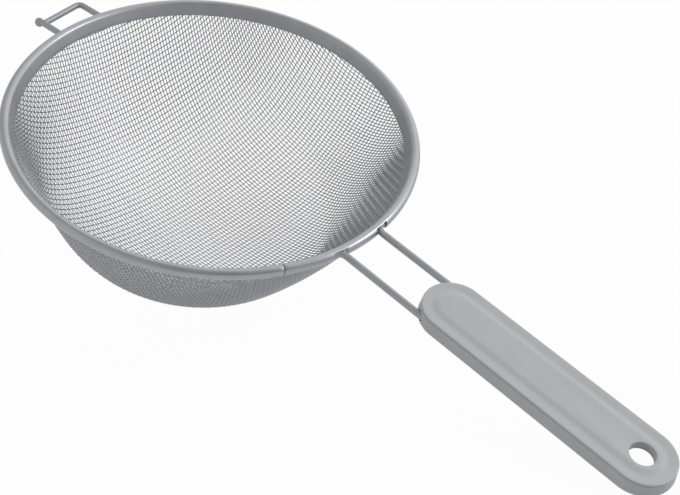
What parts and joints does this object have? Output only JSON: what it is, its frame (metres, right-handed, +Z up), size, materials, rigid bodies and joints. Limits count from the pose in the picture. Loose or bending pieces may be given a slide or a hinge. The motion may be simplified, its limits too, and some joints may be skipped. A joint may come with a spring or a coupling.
{
  "type": "kitchen sieve",
  "caption": "Round sieve with a deep woven wire bowl in a rolled steel rim, a wire frame with shanks to a flat plastic handle, and a wire rest opposite.",
  "frame": {"origin": "on the worktop, under the middle of the object's box", "axes": "+X along the sieve from the rest to the handle, +Z up from the worktop"},
  "size_m": [0.3758, 0.2, 0.114],
  "materials": {
    "cloth": "fine woven wire, bright",
    "rim": "satin sheet",
    "wire": "bright drawn wire",
    "rest": "bright drawn wire",
    "handle": "fine matte grain"
  },
  "bodies": {
    "root": {"mesh_bowl": "cloth", "rim_band": "rim", "frame_wire": "wire", "rest_hook": "rest", "handle": "handle"}
  },
  "joints": []
}
